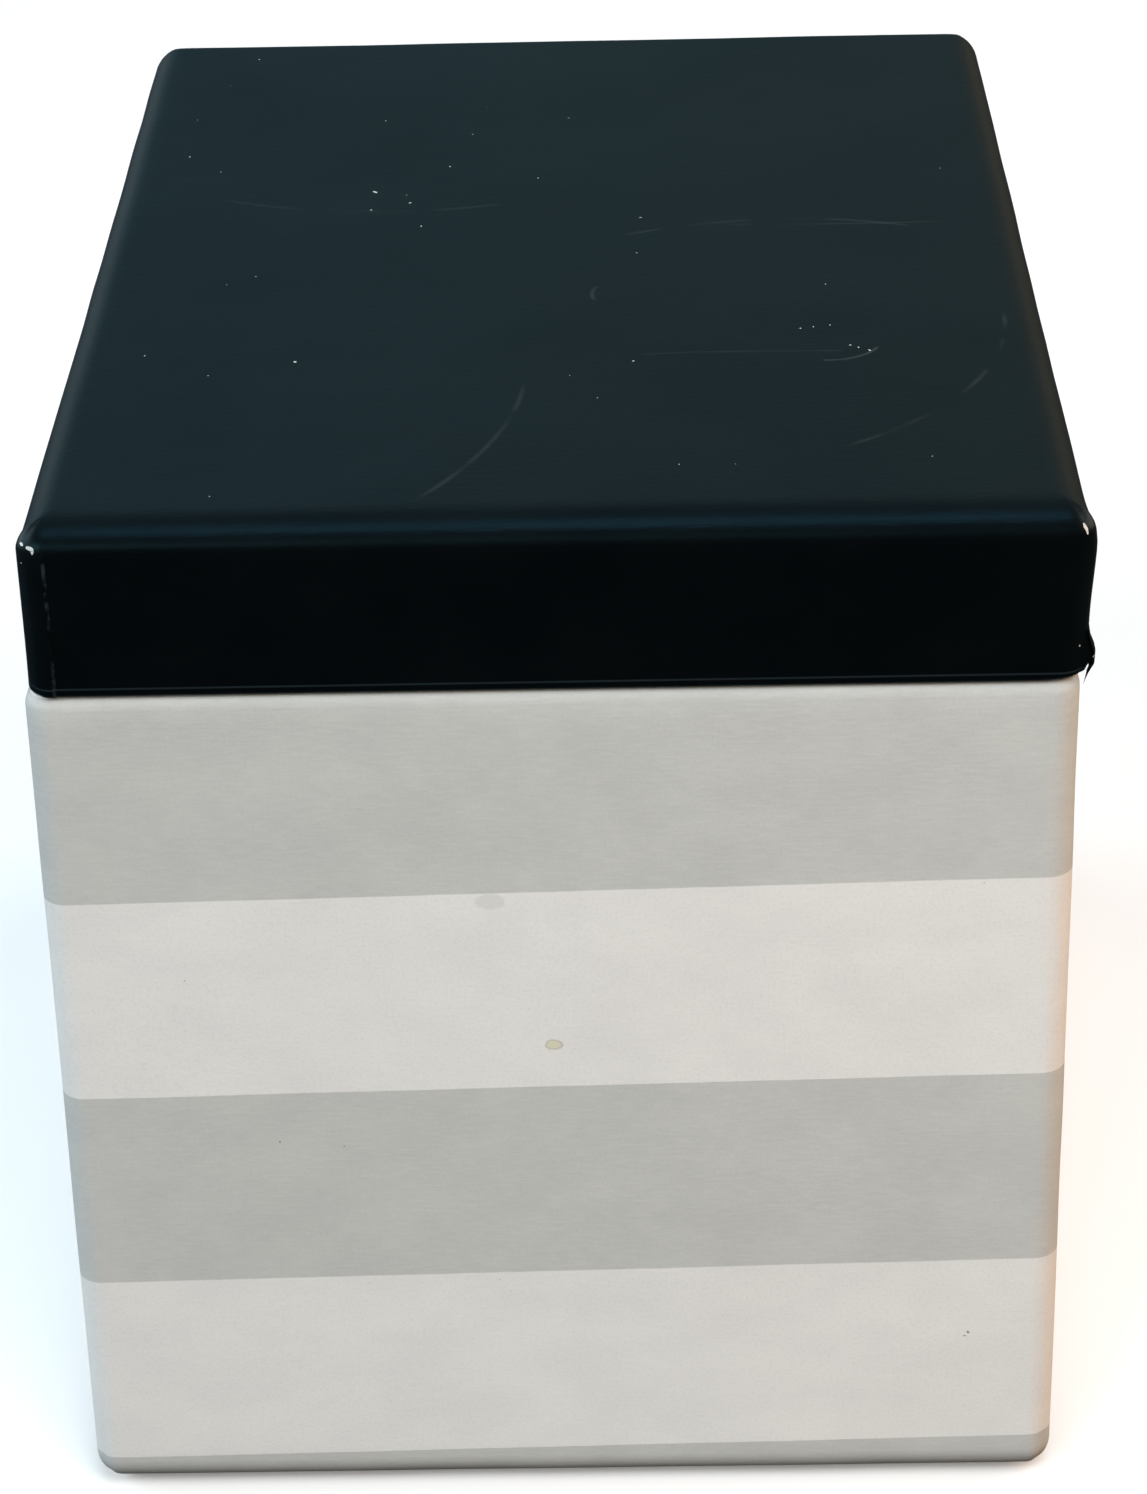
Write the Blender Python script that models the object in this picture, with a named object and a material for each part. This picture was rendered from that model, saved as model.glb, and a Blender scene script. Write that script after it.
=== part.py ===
"""Rigid gift box with a lift-off lid and a shoulder neck, built up from greyboard and paper.

The base is a tray of greyboard panels, taped at the corners and wrapped in striped paper. A neck
of thinner board stands inside it and rises past its rim. The lid, a shallow greyboard tray
wrapped in black paper, drops over that neck, so its walls end flush with the base's walls.

Frame: origin at the middle of the underside, +Z up, the front facing -Y, metres.
"""

import math

import bmesh
import bpy
from mathutils import Vector

# Outside sizes
WIDTH = 0.1120  # along X
DEPTH = 0.1570  # along Y
BASE_RIM_Z = 0.10545  # top of the base's wrapped wall
LID_TOP_Z = 0.12480  # top of the closed lid
NECK_RISE = 0.0130  # how far the neck's boards stand above the base's rim

# Thicknesses
BOARD = 0.0022  # greyboard of the base and the lid
NECK_BOARD = 0.0016  # greyboard of the neck
PAPER = 0.00035  # wrapping paper with its glue
TAPE = 0.00025  # gummed paper tape
LINING = 0.0003  # lining sheets, neck paper and the underside sheet

# Gaps
GLUE_GAP = 0.0003  # between pieces that are glued together or rest on each other
NECK_CLEARANCE = 0.0005  # running clearance on each side between the neck and the lid

# Radii of folds and corners, all on the outer side
CORNER_RADIUS = 0.0029  # upright corners of the wraps
LID_EDGE_RADIUS = 0.0038  # soft edge round the top of the lid
FOOT_EDGE_RADIUS = 0.0039  # soft edge round the bottom of the base
RIM_EDGE_RADIUS = 0.0012  # paper folded over the raw edge of a board
NECK_EDGE_RADIUS = 0.0009  # paper folded over the top of the neck
PRESSED_EDGE_RADIUS = 0.0020  # pressed edge of the top board and the floor board
PANEL_CORNER_RADIUS = 0.0015  # upright corners of the full-width panels
TIGHTEST_RADIUS = 0.0004  # smallest corner radius of any outline
CORNER_STEPS = 5
FOLD_STEPS = 4

# Folded margins and trimmed sheets
TURN_IN = 0.0120  # paper turned in over a rim
TURN_UNDER = 0.0140  # paper turned under the base
NECK_TUCK = 0.0100  # neck paper that runs on down below the base's rim
TAPE_LEG = 0.0110  # width of a corner tape on each wall
TAPE_TRIM = 0.0012  # a corner tape stops this far short of its wall's ends
SHEET_MARGIN = 0.0045  # the underside sheet stops this far inside the outline
FLAT_START = 0.0060  # a capped skin's flat middle begins this far in from its edge

# Levels, from the underside up
FOOT_Z = LINING + GLUE_GAP
FLOOR_BOARD_Z = FOOT_Z + PAPER + GLUE_GAP
WALL_FOOT_Z = FLOOR_BOARD_Z + BOARD + GLUE_GAP
BASE_WALL_TOP_Z = BASE_RIM_Z - PAPER - GLUE_GAP
NECK_TOP_Z = BASE_RIM_Z + NECK_RISE
LID_RIM_Z = BASE_RIM_Z + GLUE_GAP
LID_WALL_FOOT_Z = LID_RIM_Z + PAPER + GLUE_GAP
TOP_BOARD_TOP_Z = LID_TOP_Z - PAPER - GLUE_GAP
LID_WALL_TOP_Z = TOP_BOARD_TOP_Z - BOARD - GLUE_GAP

# Insets, measured inwards from the outside of the box
TAPE_INSET = PAPER + GLUE_GAP
BOARD_INSET = TAPE_INSET + TAPE + GLUE_GAP
TURN_IN_INSET = BOARD_INSET + BOARD + GLUE_GAP
NECK_WRAP_INSET = TURN_IN_INSET + PAPER + NECK_CLEARANCE
NECK_INSET = NECK_WRAP_INSET + LINING + GLUE_GAP
NECK_LINING_INSET = NECK_INSET + NECK_BOARD + GLUE_GAP
INSIDE_INSET = NECK_LINING_INSET + LINING


def clear_scene():
    """Removes whatever objects the file opened with."""
    for old in list(bpy.data.objects):
        bpy.data.objects.remove(old, do_unlink=True)


def finish(name, colour, roughness):
    """A paper or board material; the colour is linear."""
    made = bpy.data.materials.new(name)
    made.use_nodes = True
    shader = made.node_tree.nodes["Principled BSDF"]
    shader.inputs["Base Color"].default_value = (*colour, 1.0)
    shader.inputs["Roughness"].default_value = roughness
    shader.inputs["Metallic"].default_value = 0.0
    return made


def body_empty(name, level):
    """The parent of a body's pieces, on the upright axis that the lid lifts along."""
    made = bpy.data.objects.new(name, None)
    bpy.context.collection.objects.link(made)
    made.location = (0, 0, level)
    return made


def place(name, mesh, material, body, location, turn=0.0, flip=0.0):
    """Makes the piece's object, turned about Z and flipped about X, under its body's empty."""
    made = bpy.data.objects.new(name, mesh)
    bpy.context.collection.objects.link(made)
    if not mesh.materials:
        mesh.materials.append(material)
    made.location = location
    made.rotation_euler = (flip, 0, turn)
    made.parent = body
    made.matrix_parent_inverse.translation = -body.location
    return made


def folded_path(corners):
    """The path through (u, v, radius) corners, each rounded to its radius unless that is 0."""
    path = []
    for index, (u, v, radius) in enumerate(corners):
        here = Vector((u, v))
        if radius == 0:
            path.append(here)
            continue
        back = (Vector(corners[index - 1][:2]) - here).normalized()
        ahead = (Vector(corners[(index + 1) % len(corners)][:2]) - here).normalized()
        half_angle = back.angle(ahead) / 2
        centre = here + (back + ahead).normalized() * radius / math.sin(half_angle)
        reach = radius / math.tan(half_angle)
        first = (here + back * reach - centre).normalized()
        last = (here + ahead * reach - centre).normalized()
        for step in range(FOLD_STEPS + 1):
            path.append(centre + first.slerp(last, step / FOLD_STEPS) * radius)
    return path


def sheet_outline(path, thickness):
    """The closed outline of a sheet whose right-hand face, looking along it, is the path."""
    inner = []
    for index, point in enumerate(path):
        before = point - path[index - 1] if index else path[1] - point
        after = path[index + 1] - point if index + 1 < len(path) else before
        before, after = before.normalized(), after.normalized()
        normal = Vector((-before.y - after.y, before.x + after.x)).normalized()
        mitre = thickness / max(0.5, normal.dot(Vector((-after.y, after.x))))
        inner.append(point + normal * mitre)
    return list(path) + inner[::-1]


def round_rectangle(half_x, half_y, radius):
    """A rounded rectangle's points, anticlockwise from above."""
    points = []
    for quarter in range(4):
        sign_x = 1 if quarter in (0, 3) else -1
        sign_y = 1 if quarter in (0, 1) else -1
        for step in range(CORNER_STEPS + 1):
            angle = math.pi / 2 * (quarter + step / CORNER_STEPS)
            x = sign_x * (half_x - radius) + radius * math.cos(angle)
            y = sign_y * (half_y - radius) + radius * math.sin(angle)
            points.append((x, y))
    return points


def finish_mesh(name, bm):
    """Turns a bmesh into a smooth-shaded mesh whose faces point outwards."""
    bmesh.ops.recalc_face_normals(bm, faces=bm.faces)
    mesh = bpy.data.meshes.new(name)
    bm.to_mesh(mesh)
    bm.free()
    mesh.shade_smooth()
    mesh.set_sharp_from_angle(angle=math.radians(35))
    return mesh


def skirted_mesh(name, section, is_ring):
    """Carries a section of (inset, z) points round the box.

    A ring joins its last loop to its first. Otherwise the first and last loops are closed flat,
    which makes a tray or a plate.
    """
    bm = bmesh.new()
    loops = []
    for inset, z in section:
        radius = max(CORNER_RADIUS - inset, TIGHTEST_RADIUS)
        outline = round_rectangle(WIDTH / 2 - inset, DEPTH / 2 - inset, radius)
        loops.append([bm.verts.new((x, y, z)) for x, y in outline])
    pairs = list(zip(loops, loops[1:]))
    if is_ring:
        pairs.append((loops[-1], loops[0]))
    else:
        bm.faces.new(loops[0])
        bm.faces.new(loops[-1])
    for lower, upper in pairs:
        for index in range(len(lower)):
            following = (index + 1) % len(lower)
            bm.faces.new((lower[index], lower[following], upper[following], upper[index]))
    return finish_mesh(name, bm)


def upright_mesh(name, outline, height):
    """Stands a plan outline up to a height, from z = 0."""
    bm = bmesh.new()
    face = bm.faces.new([bm.verts.new((x, y, 0)) for x, y in outline])
    raised = bmesh.ops.extrude_face_region(bm, geom=[face])["geom"]
    moved = [part for part in raised if isinstance(part, bmesh.types.BMVert)]
    bmesh.ops.translate(bm, verts=moved, vec=(0, 0, height))
    return finish_mesh(name, bm)


def flat_sheet(name, inset, thickness):
    """A flat sheet that follows the box's outline at an inset."""
    section = [(inset, 0), (inset, thickness)]
    return skirted_mesh(name, section, is_ring=False)


def pressed_board(name):
    """A full-size board, its lower edge pressed round where the paper folds over it."""
    section = [
        (FLAT_START, 0, 0),
        (BOARD_INSET, 0, PRESSED_EDGE_RADIUS),
        (BOARD_INSET, BOARD, 0),
    ]
    return skirted_mesh(name, folded_path(section), is_ring=False)


def wall_panel(name, length, height, thickness, corner_radius):
    """A panel centred on its outer face, which is in the plane y = 0 and looks along -Y."""
    half = length / 2
    corners = [
        (-half, 0, corner_radius),
        (half, 0, corner_radius),
        (half, thickness, 0),
        (-half, thickness, 0),
    ]
    return upright_mesh(name, folded_path(corners), height)


def add_four_walls(names, material, body, inset, thickness, level, height):
    """Two full-width panels, front and back, with two side panels butted between them."""
    half_x = WIDTH / 2 - inset
    half_y = DEPTH / 2 - inset
    side_length = 2 * (half_y - thickness - GLUE_GAP)
    long_panel = wall_panel(names + "_wide", 2 * half_x, height, thickness, PANEL_CORNER_RADIUS)
    side_panel = wall_panel(names + "_side", side_length, height, thickness, 0)
    walls = (
        ("front", long_panel, (0, -half_y, level), 0),
        ("back", long_panel, (0, half_y, level), math.pi),
        ("left", side_panel, (-half_x, 0, level), -math.pi / 2),
        ("right", side_panel, (half_x, 0, level), math.pi / 2),
    )
    for side, mesh, location, turn in walls:
        place(f"{names}_{side}_board", mesh, material, body, location, turn)


def add_corner_tapes(names, material, body, level, height):
    """The L-shaped paper tapes that hold four wall panels together, one to each corner."""
    radius = CORNER_RADIUS - TAPE_INSET
    legs = [(TAPE_LEG, 0, 0), (0, 0, radius), (0, TAPE_LEG, 0)]
    outline = sheet_outline(folded_path(legs)[::-1], TAPE)
    mesh = upright_mesh(names + "_corner_tape", outline, height)
    x = WIDTH / 2 - TAPE_INSET
    y = DEPTH / 2 - TAPE_INSET
    corners = (
        ("front_left", (-x, -y, level), 0),
        ("front_right", (x, -y, level), math.pi / 2),
        ("back_right", (x, y, level), math.pi),
        ("back_left", (-x, y, level), -math.pi / 2),
    )
    for corner, location, turn in corners:
        place(f"{names}_tape_{corner}", mesh, material, body, location, turn)


def base_wrap_mesh():
    """Striped paper: turned under the base, up the wall, over the rim and down inside."""
    path = folded_path([
        (TURN_UNDER, FOOT_Z, 0),
        (0, FOOT_Z, FOOT_EDGE_RADIUS),
        (0, BASE_RIM_Z, RIM_EDGE_RADIUS),
        (TURN_IN_INSET + PAPER, BASE_RIM_Z, RIM_EDGE_RADIUS),
        (TURN_IN_INSET + PAPER, BASE_RIM_Z - TURN_IN, 0),
    ])
    return skirted_mesh("base_wrap", sheet_outline(path[::-1], PAPER), is_ring=True)


def lid_wrap_mesh():
    """Black paper: over the top board, down the wall, under the rim and up inside."""
    path = folded_path([
        (FLAT_START, LID_TOP_Z, 0),
        (0, LID_TOP_Z, LID_EDGE_RADIUS),
        (0, LID_RIM_Z, RIM_EDGE_RADIUS),
        (TURN_IN_INSET + PAPER, LID_RIM_Z, RIM_EDGE_RADIUS),
        (TURN_IN_INSET + PAPER, LID_RIM_Z + TURN_IN, 0),
    ])
    return skirted_mesh("lid_wrap", sheet_outline(path, PAPER), is_ring=False)


def neck_wrap_mesh():
    """Black paper: up the outside of the neck, over its top and down inside to the floor."""
    top = NECK_TOP_Z + GLUE_GAP + LINING
    path = folded_path([
        (NECK_WRAP_INSET, BASE_RIM_Z - NECK_TUCK, 0),
        (NECK_WRAP_INSET, top, NECK_EDGE_RADIUS),
        (INSIDE_INSET, top, NECK_EDGE_RADIUS),
        (INSIDE_INSET, WALL_FOOT_Z, 0),
    ])
    return skirted_mesh("neck_wrap", sheet_outline(path[::-1], LINING), is_ring=True)


def build_base(greyboard, tape, striped, lining, underside):
    """The tray: floor board, walls, corner tapes, striped wrap and underside sheet."""
    base = body_empty("base", 0)
    floor_board = pressed_board("base_floor_board")
    place("base_floor_board", floor_board, greyboard, base, (0, 0, FLOOR_BOARD_Z))
    wall_height = BASE_WALL_TOP_Z - WALL_FOOT_Z
    add_four_walls("base", greyboard, base, BOARD_INSET, BOARD, WALL_FOOT_Z, wall_height)
    tape_z = WALL_FOOT_Z + TAPE_TRIM
    add_corner_tapes("base", tape, base, tape_z, wall_height - 2 * TAPE_TRIM)
    place("base_wrap", base_wrap_mesh(), striped, base, (0, 0, 0))
    underside_sheet = flat_sheet("base_underside_sheet", SHEET_MARGIN, LINING)
    place("base_underside_sheet", underside_sheet, underside, base, (0, 0, 0))
    floor_sheet = flat_sheet("floor_lining_sheet", INSIDE_INSET + GLUE_GAP, LINING)
    place("floor_lining_sheet", floor_sheet, lining, base, (0, 0, WALL_FOOT_Z))
    return base


def build_neck(greyboard, black, base):
    """The neck: four thinner boards that stand on the floor board, and their paper."""
    height = NECK_TOP_Z - WALL_FOOT_Z
    add_four_walls("neck", greyboard, base, NECK_INSET, NECK_BOARD, WALL_FOOT_Z, height)
    place("neck_wrap", neck_wrap_mesh(), black, base, (0, 0, 0))


def build_lid(greyboard, tape, black, lining):
    """The lid: top board, walls, corner tapes, black wrap and the sheet lining its inside."""
    lid = body_empty("lid", LID_RIM_Z)
    top_board = pressed_board("lid_top_board")
    place("lid_top_board", top_board, greyboard, lid, (0, 0, TOP_BOARD_TOP_Z), flip=math.pi)
    wall_height = LID_WALL_TOP_Z - LID_WALL_FOOT_Z
    add_four_walls("lid", greyboard, lid, BOARD_INSET, BOARD, LID_WALL_FOOT_Z, wall_height)
    tape_z = LID_WALL_FOOT_Z + TAPE_TRIM
    add_corner_tapes("lid", tape, lid, tape_z, wall_height - 2 * TAPE_TRIM)
    place("lid_wrap", lid_wrap_mesh(), black, lid, (0, 0, 0))
    lining_sheet = flat_sheet("lid_lining_sheet", TURN_IN_INSET, LINING)
    place("lid_lining_sheet", lining_sheet, lining, lid, (0, 0, LID_WALL_TOP_Z - LINING))


def build_gift_box():
    """Builds every piece of the closed box."""
    clear_scene()
    greyboard = finish("greyboard", (0.215, 0.195, 0.165), 0.9)
    tape = finish("gummed_paper_tape", (0.42, 0.29, 0.16), 0.75)
    striped = finish("striped_paper", (0.54, 0.55, 0.51), 0.55)
    black = finish("black_paper", (0.012, 0.019, 0.021), 0.45)
    lining = finish("lining_paper", (0.016, 0.017, 0.018), 0.6)
    underside = finish("underside_paper", (0.60, 0.60, 0.56), 0.7)
    base = build_base(greyboard, tape, striped, lining, underside)
    build_neck(greyboard, black, base)
    build_lid(greyboard, tape, black, lining)


build_gift_box()
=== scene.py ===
import math
import random

import bmesh
import bpy
from mathutils import Matrix, Vector, noise
from mathutils.bvhtree import BVHTree


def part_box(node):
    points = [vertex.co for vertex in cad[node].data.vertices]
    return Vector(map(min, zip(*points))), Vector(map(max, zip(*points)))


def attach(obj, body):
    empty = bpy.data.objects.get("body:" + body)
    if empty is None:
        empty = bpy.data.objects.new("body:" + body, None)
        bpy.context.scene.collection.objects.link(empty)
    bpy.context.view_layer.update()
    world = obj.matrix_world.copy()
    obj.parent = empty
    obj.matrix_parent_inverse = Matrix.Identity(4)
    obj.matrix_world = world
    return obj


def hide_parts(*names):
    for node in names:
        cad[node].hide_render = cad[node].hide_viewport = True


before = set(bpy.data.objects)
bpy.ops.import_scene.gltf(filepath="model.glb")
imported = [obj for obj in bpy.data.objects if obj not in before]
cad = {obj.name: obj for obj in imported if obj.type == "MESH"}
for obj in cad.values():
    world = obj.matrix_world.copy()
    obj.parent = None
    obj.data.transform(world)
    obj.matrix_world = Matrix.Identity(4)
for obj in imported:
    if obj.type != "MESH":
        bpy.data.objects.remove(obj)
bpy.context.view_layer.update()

MM = 0.001


# ------------------------------------------------------------
# Greyboard panels of the base, the neck and the lid.
# Board pulped from waste paper, cut to size, butted and glued at the edges. The neck's is thinner
# and paler. Only its raw edges would show, where a paper's turned-in margin stops short.

def linear(sheet_colour):
    """A colour picked as sRGB hex, such as "8a8172", in the linear values that shaders take."""
    channels = [int(sheet_colour[at:at + 2], 16) / 255 for at in (0, 2, 4)]
    lit = [c / 12.92 if c <= 0.04045 else ((c + 0.055) / 1.055) ** 2.4 for c in channels]
    return (*lit, 1.0)


def wire(tree, kind, inputs=None, **settings):
    """Adds a node to a tree with its settings. An input is given a value, a socket to link, or a
    node whose first output is linked."""
    made = tree.nodes.new(kind)
    for setting, value in settings.items():
        setattr(made, setting, value)
    for name, value in (inputs or {}).items():
        if isinstance(value, bpy.types.Node):
            value = value.outputs[0]
        if isinstance(value, bpy.types.NodeSocket):
            tree.links.new(value, made.inputs[name])
        else:
            made.inputs[name].default_value = value
    return made


def start_material(name, roughness, specular):
    """A material with its shader's own finish set, and the object's coordinates to draw on."""
    made = bpy.data.materials.new(name)
    made.use_nodes = True
    tree = made.node_tree
    shader = tree.nodes["Principled BSDF"]
    shader.inputs["Roughness"].default_value = roughness
    shader.inputs["Specular IOR Level"].default_value = specular
    shader.inputs["IOR"].default_value = 1.5
    place = tree.nodes.new("ShaderNodeTexCoord").outputs["Object"]
    return made, tree, shader, place


def grain(tree, place, size, stretch=(1, 1, 1), detail=3.0, offset=(0, 0, 0)):
    """Cloudy noise whose marks are about one size in metres, drawn out along the stretched axes."""
    scale = tuple(1 / (size * s) for s in stretch)
    laid = wire(tree, "ShaderNodeMapping", {"Vector": place, "Scale": scale, "Location": offset})
    made = wire(tree, "ShaderNodeTexNoise",
                {"Vector": laid, "Scale": 1.0, "Detail": detail, "Roughness": 0.55})
    return made.outputs["Fac"]


def laid_over(tree, under, over, pattern, low, high, most=1.0):
    """One colour over another: not at all where a pattern is at low, and most where at high."""
    share = wire(tree, "ShaderNodeMapRange",
                 {"Value": pattern, "From Min": low, "From Max": high, "To Max": most},
                 interpolation_type="SMOOTHSTEP")
    return wire(tree, "ShaderNodeMix", {0: share, 6: under, 7: over},
                data_type="RGBA").outputs[2]


def relief(tree, shader, height, depth, strength=1.0):
    """Raises a surface by a height from 0 to 1, where 1 stands for a depth in metres."""
    made = wire(tree, "ShaderNodeBump",
                {"Height": height, "Distance": depth, "Strength": strength})
    tree.links.new(made.outputs["Normal"], shader.inputs["Normal"])


def pulp_board(name, body_colour, fleck_colour, pale_colour):
    """Recycled board: matt, cloudy, with dark flecks of ink and pale fibres about 1 mm long."""
    made, tree, shader, place = start_material(name, 0.9, 0.3)
    cloud = grain(tree, place, 9 * MM)
    fleck = grain(tree, place, 0.9 * MM, (1.6, 1.6, 0.7), 2.0)
    fibre = grain(tree, place, 0.6 * MM, (2.5, 0.8, 1.5), 2.0, (3.1, 0.4, 7.7))
    colour = laid_over(tree, linear(body_colour), linear(pale_colour), cloud, 0.3, 0.7, 0.35)
    colour = laid_over(tree, colour, linear(fleck_colour), fleck, 0.62, 0.72, 0.55)
    colour = laid_over(tree, colour, linear(pale_colour), fibre, 0.64, 0.74, 0.5)
    tree.links.new(colour, shader.inputs["Base Color"])
    relief(tree, shader, fleck, 0.12 * MM, 0.6)
    return made


def cover(names, material):
    """Gives CAD nodes their material, each in its mesh's one slot."""
    for name in names:
        cad[name].data.materials.clear()
        cad[name].data.materials.append(material)


greyboard = pulp_board("greyboard", "8a8274", "5b554b", "a79f90")
neck_board = pulp_board("thin_greyboard", "968e80", "686156", "b0a899")
sides = ("front", "back", "left", "right")
cover([f"{tray}_{side}_board" for tray in ("base", "lid") for side in sides], greyboard)
cover(["base_floor_board", "lid_top_board"], greyboard)
cover([f"neck_{side}_board" for side in sides], neck_board)


# ------------------------------------------------------------
# Gummed paper tapes, one down each corner of the two trays.
# Brown kraft with water-activated gum, pulled tight over the corner while wet: slightly cockled,
# its fibres running along the tape.

def kraft_tape():
    """Kraft paper: tan, long fibres up the tape, darker where the gum has soaked through."""
    made, tree, shader, place = start_material("gummed_kraft_tape", 0.62, 0.4)
    fibre = grain(tree, place, 0.5 * MM, (1, 1, 9), 4.0)
    damp = grain(tree, place, 6 * MM)
    colour = laid_over(tree, linear("a5814f"), linear("c09c6a"), fibre, 0.35, 0.7)
    colour = laid_over(tree, colour, linear("8f6c40"), damp, 0.5, 0.7, 0.3)
    tree.links.new(colour, shader.inputs["Base Color"])
    relief(tree, shader, fibre, 0.05 * MM, 0.5)
    return made


corners = ("front_left", "front_right", "back_right", "back_left")
cover([f"{tray}_tape_{corner}" for tray in ("base", "lid") for corner in corners], kraft_tape())


# ------------------------------------------------------------
# Striped wrap of the base.
# Coated wrapping paper printed in grey and off-white bands, glued round the four walls, turned
# under the floor board and over the rim, and down 12 mm inside.

def fold_round(corners, steps):
    """The path through (inset, level, radius) corners, rounded wherever the radius isn't 0."""
    path = []
    for at, (inset, level, radius) in enumerate(corners):
        here = Vector((inset, level))
        if radius == 0:
            path.append(here)
            continue
        back = (Vector(corners[at - 1][:2]) - here).normalized()
        ahead = (Vector(corners[at + 1][:2]) - here).normalized()
        half_angle = back.angle(ahead) / 2
        centre = here + (back + ahead).normalized() * radius / math.sin(half_angle)
        reach = radius / math.tan(half_angle)
        first = (here + back * reach - centre).normalized()
        last = (here + ahead * reach - centre).normalized()
        path += [centre + first.slerp(last, s / steps) * radius for s in range(steps + 1)]
    return path


def stepped(path, longest):
    """The same path with points added, so that no straight run is longer than one step."""
    points = [path[0]]
    for before, after in zip(path, path[1:]):
        count = max(1, math.ceil((after - before).length / longest))
        points += [before.lerp(after, step / count) for step in range(1, count + 1)]
    return points


SHARPEST_MITRE = 0.5           # keeps a tight fold's mitre under twice the paper's thickness


def other_face(path, paper):
    """The path a paper's thickness away, on the side of the board."""
    moved = []
    for at, point in enumerate(path):
        before = point - path[at - 1] if at else path[1] - point
        after = path[at + 1] - point if at + 1 < len(path) else before
        before, after = before.normalized(), after.normalized()
        normal = Vector((-before.y - after.y, before.x + after.x)).normalized()
        mitre = normal.dot(Vector((-after.y, after.x)))
        moved.append(point + normal * paper / max(SHARPEST_MITRE, mitre))
    return moved


EVEN_SHARE = 0.35              # how evenly points lie along a wall, against crowding its ends


def plan_outline(half_width, half_depth, radius, arc_steps, side_steps, lap=0.0):
    """The box's plan as a ring of points, closest together where the corners are. A lap puts
    close points that far past each corner, where one wall's paper ends on the next."""
    ring = []
    for quarter in range(4):
        sign_x = 1 if quarter in (0, 3) else -1
        sign_y = 1 if quarter in (0, 1) else -1
        centre = Vector((sign_x * (half_width - radius), sign_y * (half_depth - radius), 0))
        for step in range(arc_steps + 1):
            angle = math.pi / 2 * (quarter + step / arc_steps)
            ring.append(centre + radius * Vector((math.cos(angle), math.sin(angle), 0)))
        turned = quarter % 2 == 0
        run = Vector((-1, 0, 0)) if turned else Vector((0, -1, 0))
        run = run if quarter < 2 else -run
        length = 2 * ((half_width if turned else half_depth) - radius)
        start = ring[-1].copy()
        spots = []
        for step in range(1, side_steps):
            even = step / side_steps
            eased = (1 - math.cos(math.pi * even)) / 2
            spots.append(length * (EVEN_SHARE * even + (1 - EVEN_SHARE) * eased))
        if lap:
            edge = lap - radius
            spots = [spot for spot in spots if abs(spot - edge) > 2.5 * LAP_EDGE]
            spots += [edge + LAP_EDGE * share for share in (-1.5, -0.5, 0.5, 1.5)]
        ring += [start + run * spot for spot in sorted(spots)]
    return ring


def chain(name, points, shown, closed):
    """A line of joined points as an object. The first ones are the face that shows."""
    mesh = bpy.data.meshes.new(name)
    edges = [(at, at + 1) for at in range(len(points) - 1)]
    if closed:
        edges.append((len(points) - 1, 0))
    mesh.from_pydata([(*point[:2], 0) for point in points], edges, [])
    outer = mesh.attributes.new("shown", "FLOAT", "POINT")
    outer.data.foreach_set("value", [float(at < shown) for at in range(len(points))])
    made = bpy.data.objects.new(name, mesh)
    bpy.context.scene.collection.objects.link(made)
    return made


def geometry_tree(name, wanted, result):
    """An empty Geometry Nodes tree with its named inputs and its one output."""
    tree = bpy.data.node_groups.new(name, "GeometryNodeTree")
    for socket, kind in wanted:
        tree.interface.new_socket(socket, in_out="INPUT", socket_type=kind)
    tree.interface.new_socket(result, in_out="OUTPUT", socket_type="NodeSocketGeometry")
    return tree, tree.nodes.new("NodeGroupInput").outputs


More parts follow.
